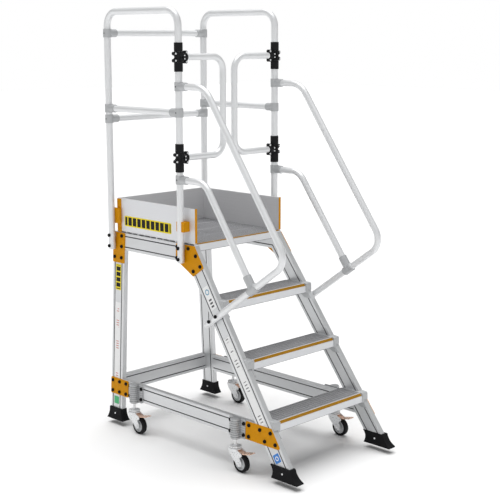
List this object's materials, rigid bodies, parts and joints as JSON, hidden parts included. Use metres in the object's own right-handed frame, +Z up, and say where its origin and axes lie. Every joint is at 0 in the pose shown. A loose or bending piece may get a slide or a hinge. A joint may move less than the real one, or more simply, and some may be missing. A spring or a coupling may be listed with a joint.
{
  "type": "mobile platform ladder",
  "caption": "Wheeled aluminium platform steps with guardrails, swing gates, stair handrails, toe boards and sprung braked castors beside rubber feet.",
  "frame": {"origin": "on the floor, under the middle of the object's box", "axes": "+Z up; +Y towards the back of the platform, so the stair rises from -Y; +X is the user's right when climbing"},
  "size_m": [0.6884, 1.2224, 1.9214],
  "materials": {
    "extrusion": "satin anodised",
    "tubing": "satin anodised",
    "casting": "as cast, fine matte",
    "tread_metal": "ribbed, satin",
    "deck_metal": "ribbed, matte",
    "board_metal": "satin",
    "castor_casting": "as cast",
    "powder_coat": "orange powder coat, satin",
    "grip_strip": "matte",
    "black_bolt": "black oxide",
    "rubber": "matte",
    "zinc": "bright zinc",
    "spring_steel": "oiled",
    "wheel_nylon": "matte",
    "tyre": "matte",
    "pedal": "satin",
    "black_nylon": "moulded, satin"
  },
  "bodies": {
    "ladder": {"rear_leg_left": "extrusion", "stile_left": "extrusion", "upper_rail_left": "extrusion", "base_rail_left": "extrusion", "guardrail_left": "tubing", "handrail_left": "tubing", "rear_leg_right": "extrusion", "stile_right": "extrusion", "upper_rail_right": "extrusion", "base_rail_right": "extrusion", "guardrail_right": "tubing", "handrail_right": "tubing", "base_rail_rear": "extrusion", "deck_rear_beam": "extrusion", "rear_rails": "tubing", "side_knee_rails": "tubing", "stair_knee_rails": "tubing", "tread_lower": "tread_metal", "tread_middle": "tread_metal", "tread_upper": "tread_metal", "grip_strips": "grip_strip", "tread_brackets": "casting", "deck_planks": "deck_metal", "tube_clamps": "casting", "toe_boards": "board_metal", "toe_board_brackets": "powder_coat", "upper_gussets": "powder_coat", "lower_gussets": "powder_coat", "frame_bolts": "black_bolt", "rubber_feet": "rubber", "castor_housings": "castor_casting", "gate_collars": "black_nylon", "castor_rear_left_spring": "spring_steel", "castor_rear_right_spring": "spring_steel", "castor_front_left_spring": "spring_steel", "castor_front_right_spring": "spring_steel"},
    "gate_left": {"gate_left_leaf": "tubing", "gate_left_clamps": "black_nylon"},
    "gate_right": {"gate_right_leaf": "tubing", "gate_right_clamps": "black_nylon"},
    "castor_rear_left_stem": {"castor_rear_left_stem": "zinc"},
    "castor_rear_left_swivel": {"castor_rear_left_fork": "zinc"},
    "castor_rear_left_wheel": {"castor_rear_left_wheel": "wheel_nylon", "castor_rear_left_tyre": "tyre"},
    "castor_rear_left_pedal": {"castor_rear_left_pedal": "pedal"},
    "castor_rear_right_stem": {"castor_rear_right_stem": "zinc"},
    "castor_rear_right_swivel": {"castor_rear_right_fork": "zinc"},
    "castor_rear_right_wheel": {"castor_rear_right_wheel": "wheel_nylon", "castor_rear_right_tyre": "tyre"},
    "castor_rear_right_pedal": {"castor_rear_right_pedal": "pedal"},
    "castor_front_left_stem": {"castor_front_left_stem": "zinc"},
    "castor_front_left_swivel": {"castor_front_left_fork": "zinc"},
    "castor_front_left_wheel": {"castor_front_left_wheel": "wheel_nylon", "castor_front_left_tyre": "tyre"},
    "castor_front_left_pedal": {"castor_front_left_pedal": "pedal"},
    "castor_front_right_stem": {"castor_front_right_stem": "zinc"},
    "castor_front_right_swivel": {"castor_front_right_fork": "zinc"},
    "castor_front_right_wheel": {"castor_front_right_wheel": "wheel_nylon", "castor_front_right_tyre": "tyre"},
    "castor_front_right_pedal": {"castor_front_right_pedal": "pedal"}
  },
  "joints": [
    {"name": "gate_left_hinge", "type": "hinge", "parent": "ladder", "child": "gate_left", "pos_m": [-0.2907, 0.10175, 1.5], "axis": [0, 0, 1], "range_deg": [0, 80], "stiffness_Nm_per_rad": 1, "springref_deg": -17.19},
    {"name": "gate_right_hinge", "type": "hinge", "parent": "ladder", "child": "gate_right", "pos_m": [0.2907, 0.10175, 1.5], "axis": [0, 0, -1], "range_deg": [0, 80], "stiffness_Nm_per_rad": 1, "springref_deg": -17.19},
    {"name": "castor_rear_left_spring_slide", "type": "slide", "parent": "ladder", "child": "castor_rear_left_stem", "axis": [0, 0, 1], "range_m": [0, 0.024], "stiffness_N_per_m": 4000, "springref_m": -0.0325, "deforming": ["castor_rear_left_spring"]},
    {"name": "castor_rear_left_swivel", "type": "hinge", "parent": "castor_rear_left_stem", "child": "castor_rear_left_swivel", "pos_m": [-0.31723, 0.40895, 0.1], "axis": [0, 0, 1], "continuous": true},
    {"name": "castor_rear_left_roll", "type": "hinge", "parent": "castor_rear_left_swivel", "child": "castor_rear_left_wheel", "pos_m": [-0.31723, 0.37195, 0.04], "axis": [1, 0, 0], "continuous": true},
    {"name": "castor_rear_left_brake", "type": "hinge", "parent": "castor_rear_left_swivel", "child": "castor_rear_left_pedal", "pos_m": [-0.31723, 0.38895, 0.087], "axis": [1, 0, 0], "range_deg": [0, 10]},
    {"name": "castor_rear_right_spring_slide", "type": "slide", "parent": "ladder", "child": "castor_rear_right_stem", "axis": [0, 0, 1], "range_m": [0, 0.024], "stiffness_N_per_m": 4000, "springref_m": -0.0325, "deforming": ["castor_rear_right_spring"]},
    {"name": "castor_rear_right_swivel", "type": "hinge", "parent": "castor_rear_right_stem", "child": "castor_rear_right_swivel", "pos_m": [0.31723, 0.40895, 0.1], "axis": [0, 0, 1], "continuous": true},
    {"name": "castor_rear_right_roll", "type": "hinge", "parent": "castor_rear_right_swivel", "child": "castor_rear_right_wheel", "pos_m": [0.31723, 0.37195, 0.04], "axis": [1, 0, 0], "continuous": true},
    {"name": "castor_rear_right_brake", "type": "hinge", "parent": "castor_rear_right_swivel", "child": "castor_rear_right_pedal", "pos_m": [0.31723, 0.38895, 0.087], "axis": [1, 0, 0], "range_deg": [0, 10]},
    {"name": "castor_front_left_spring_slide", "type": "slide", "parent": "ladder", "child": "castor_front_left_stem", "axis": [0, 0, 1], "range_m": [0, 0.024], "stiffness_N_per_m": 4000, "springref_m": -0.0325, "deforming": ["castor_front_left_spring"]},
    {"name": "castor_front_left_swivel", "type": "hinge", "parent": "castor_front_left_stem", "child": "castor_front_left_swivel", "pos_m": [-0.31723, -0.25995, 0.1], "axis": [0, 0, 1], "continuous": true},
    {"name": "castor_front_left_roll", "type": "hinge", "parent": "castor_front_left_swivel", "child": "castor_front_left_wheel", "pos_m": [-0.31723, -0.29695, 0.04], "axis": [1, 0, 0], "continuous": true},
    {"name": "castor_front_left_brake", "type": "hinge", "parent": "castor_front_left_swivel", "child": "castor_front_left_pedal", "pos_m": [-0.31723, -0.27995, 0.087], "axis": [1, 0, 0], "range_deg": [0, 10]},
    {"name": "castor_front_right_spring_slide", "type": "slide", "parent": "ladder", "child": "castor_front_right_stem", "axis": [0, 0, 1], "range_m": [0, 0.024], "stiffness_N_per_m": 4000, "springref_m": -0.0325, "deforming": ["castor_front_right_spring"]},
    {"name": "castor_front_right_swivel", "type": "hinge", "parent": "castor_front_right_stem", "child": "castor_front_right_swivel", "pos_m": [0.31723, -0.25995, 0.1], "axis": [0, 0, 1], "continuous": true},
    {"name": "castor_front_right_roll", "type": "hinge", "parent": "castor_front_right_swivel", "child": "castor_front_right_wheel", "pos_m": [0.31723, -0.29695, 0.04], "axis": [1, 0, 0], "continuous": true},
    {"name": "castor_front_right_brake", "type": "hinge", "parent": "castor_front_right_swivel", "child": "castor_front_right_pedal", "pos_m": [0.31723, -0.27995, 0.087], "axis": [1, 0, 0], "range_deg": [0, 10]}
  ]
}
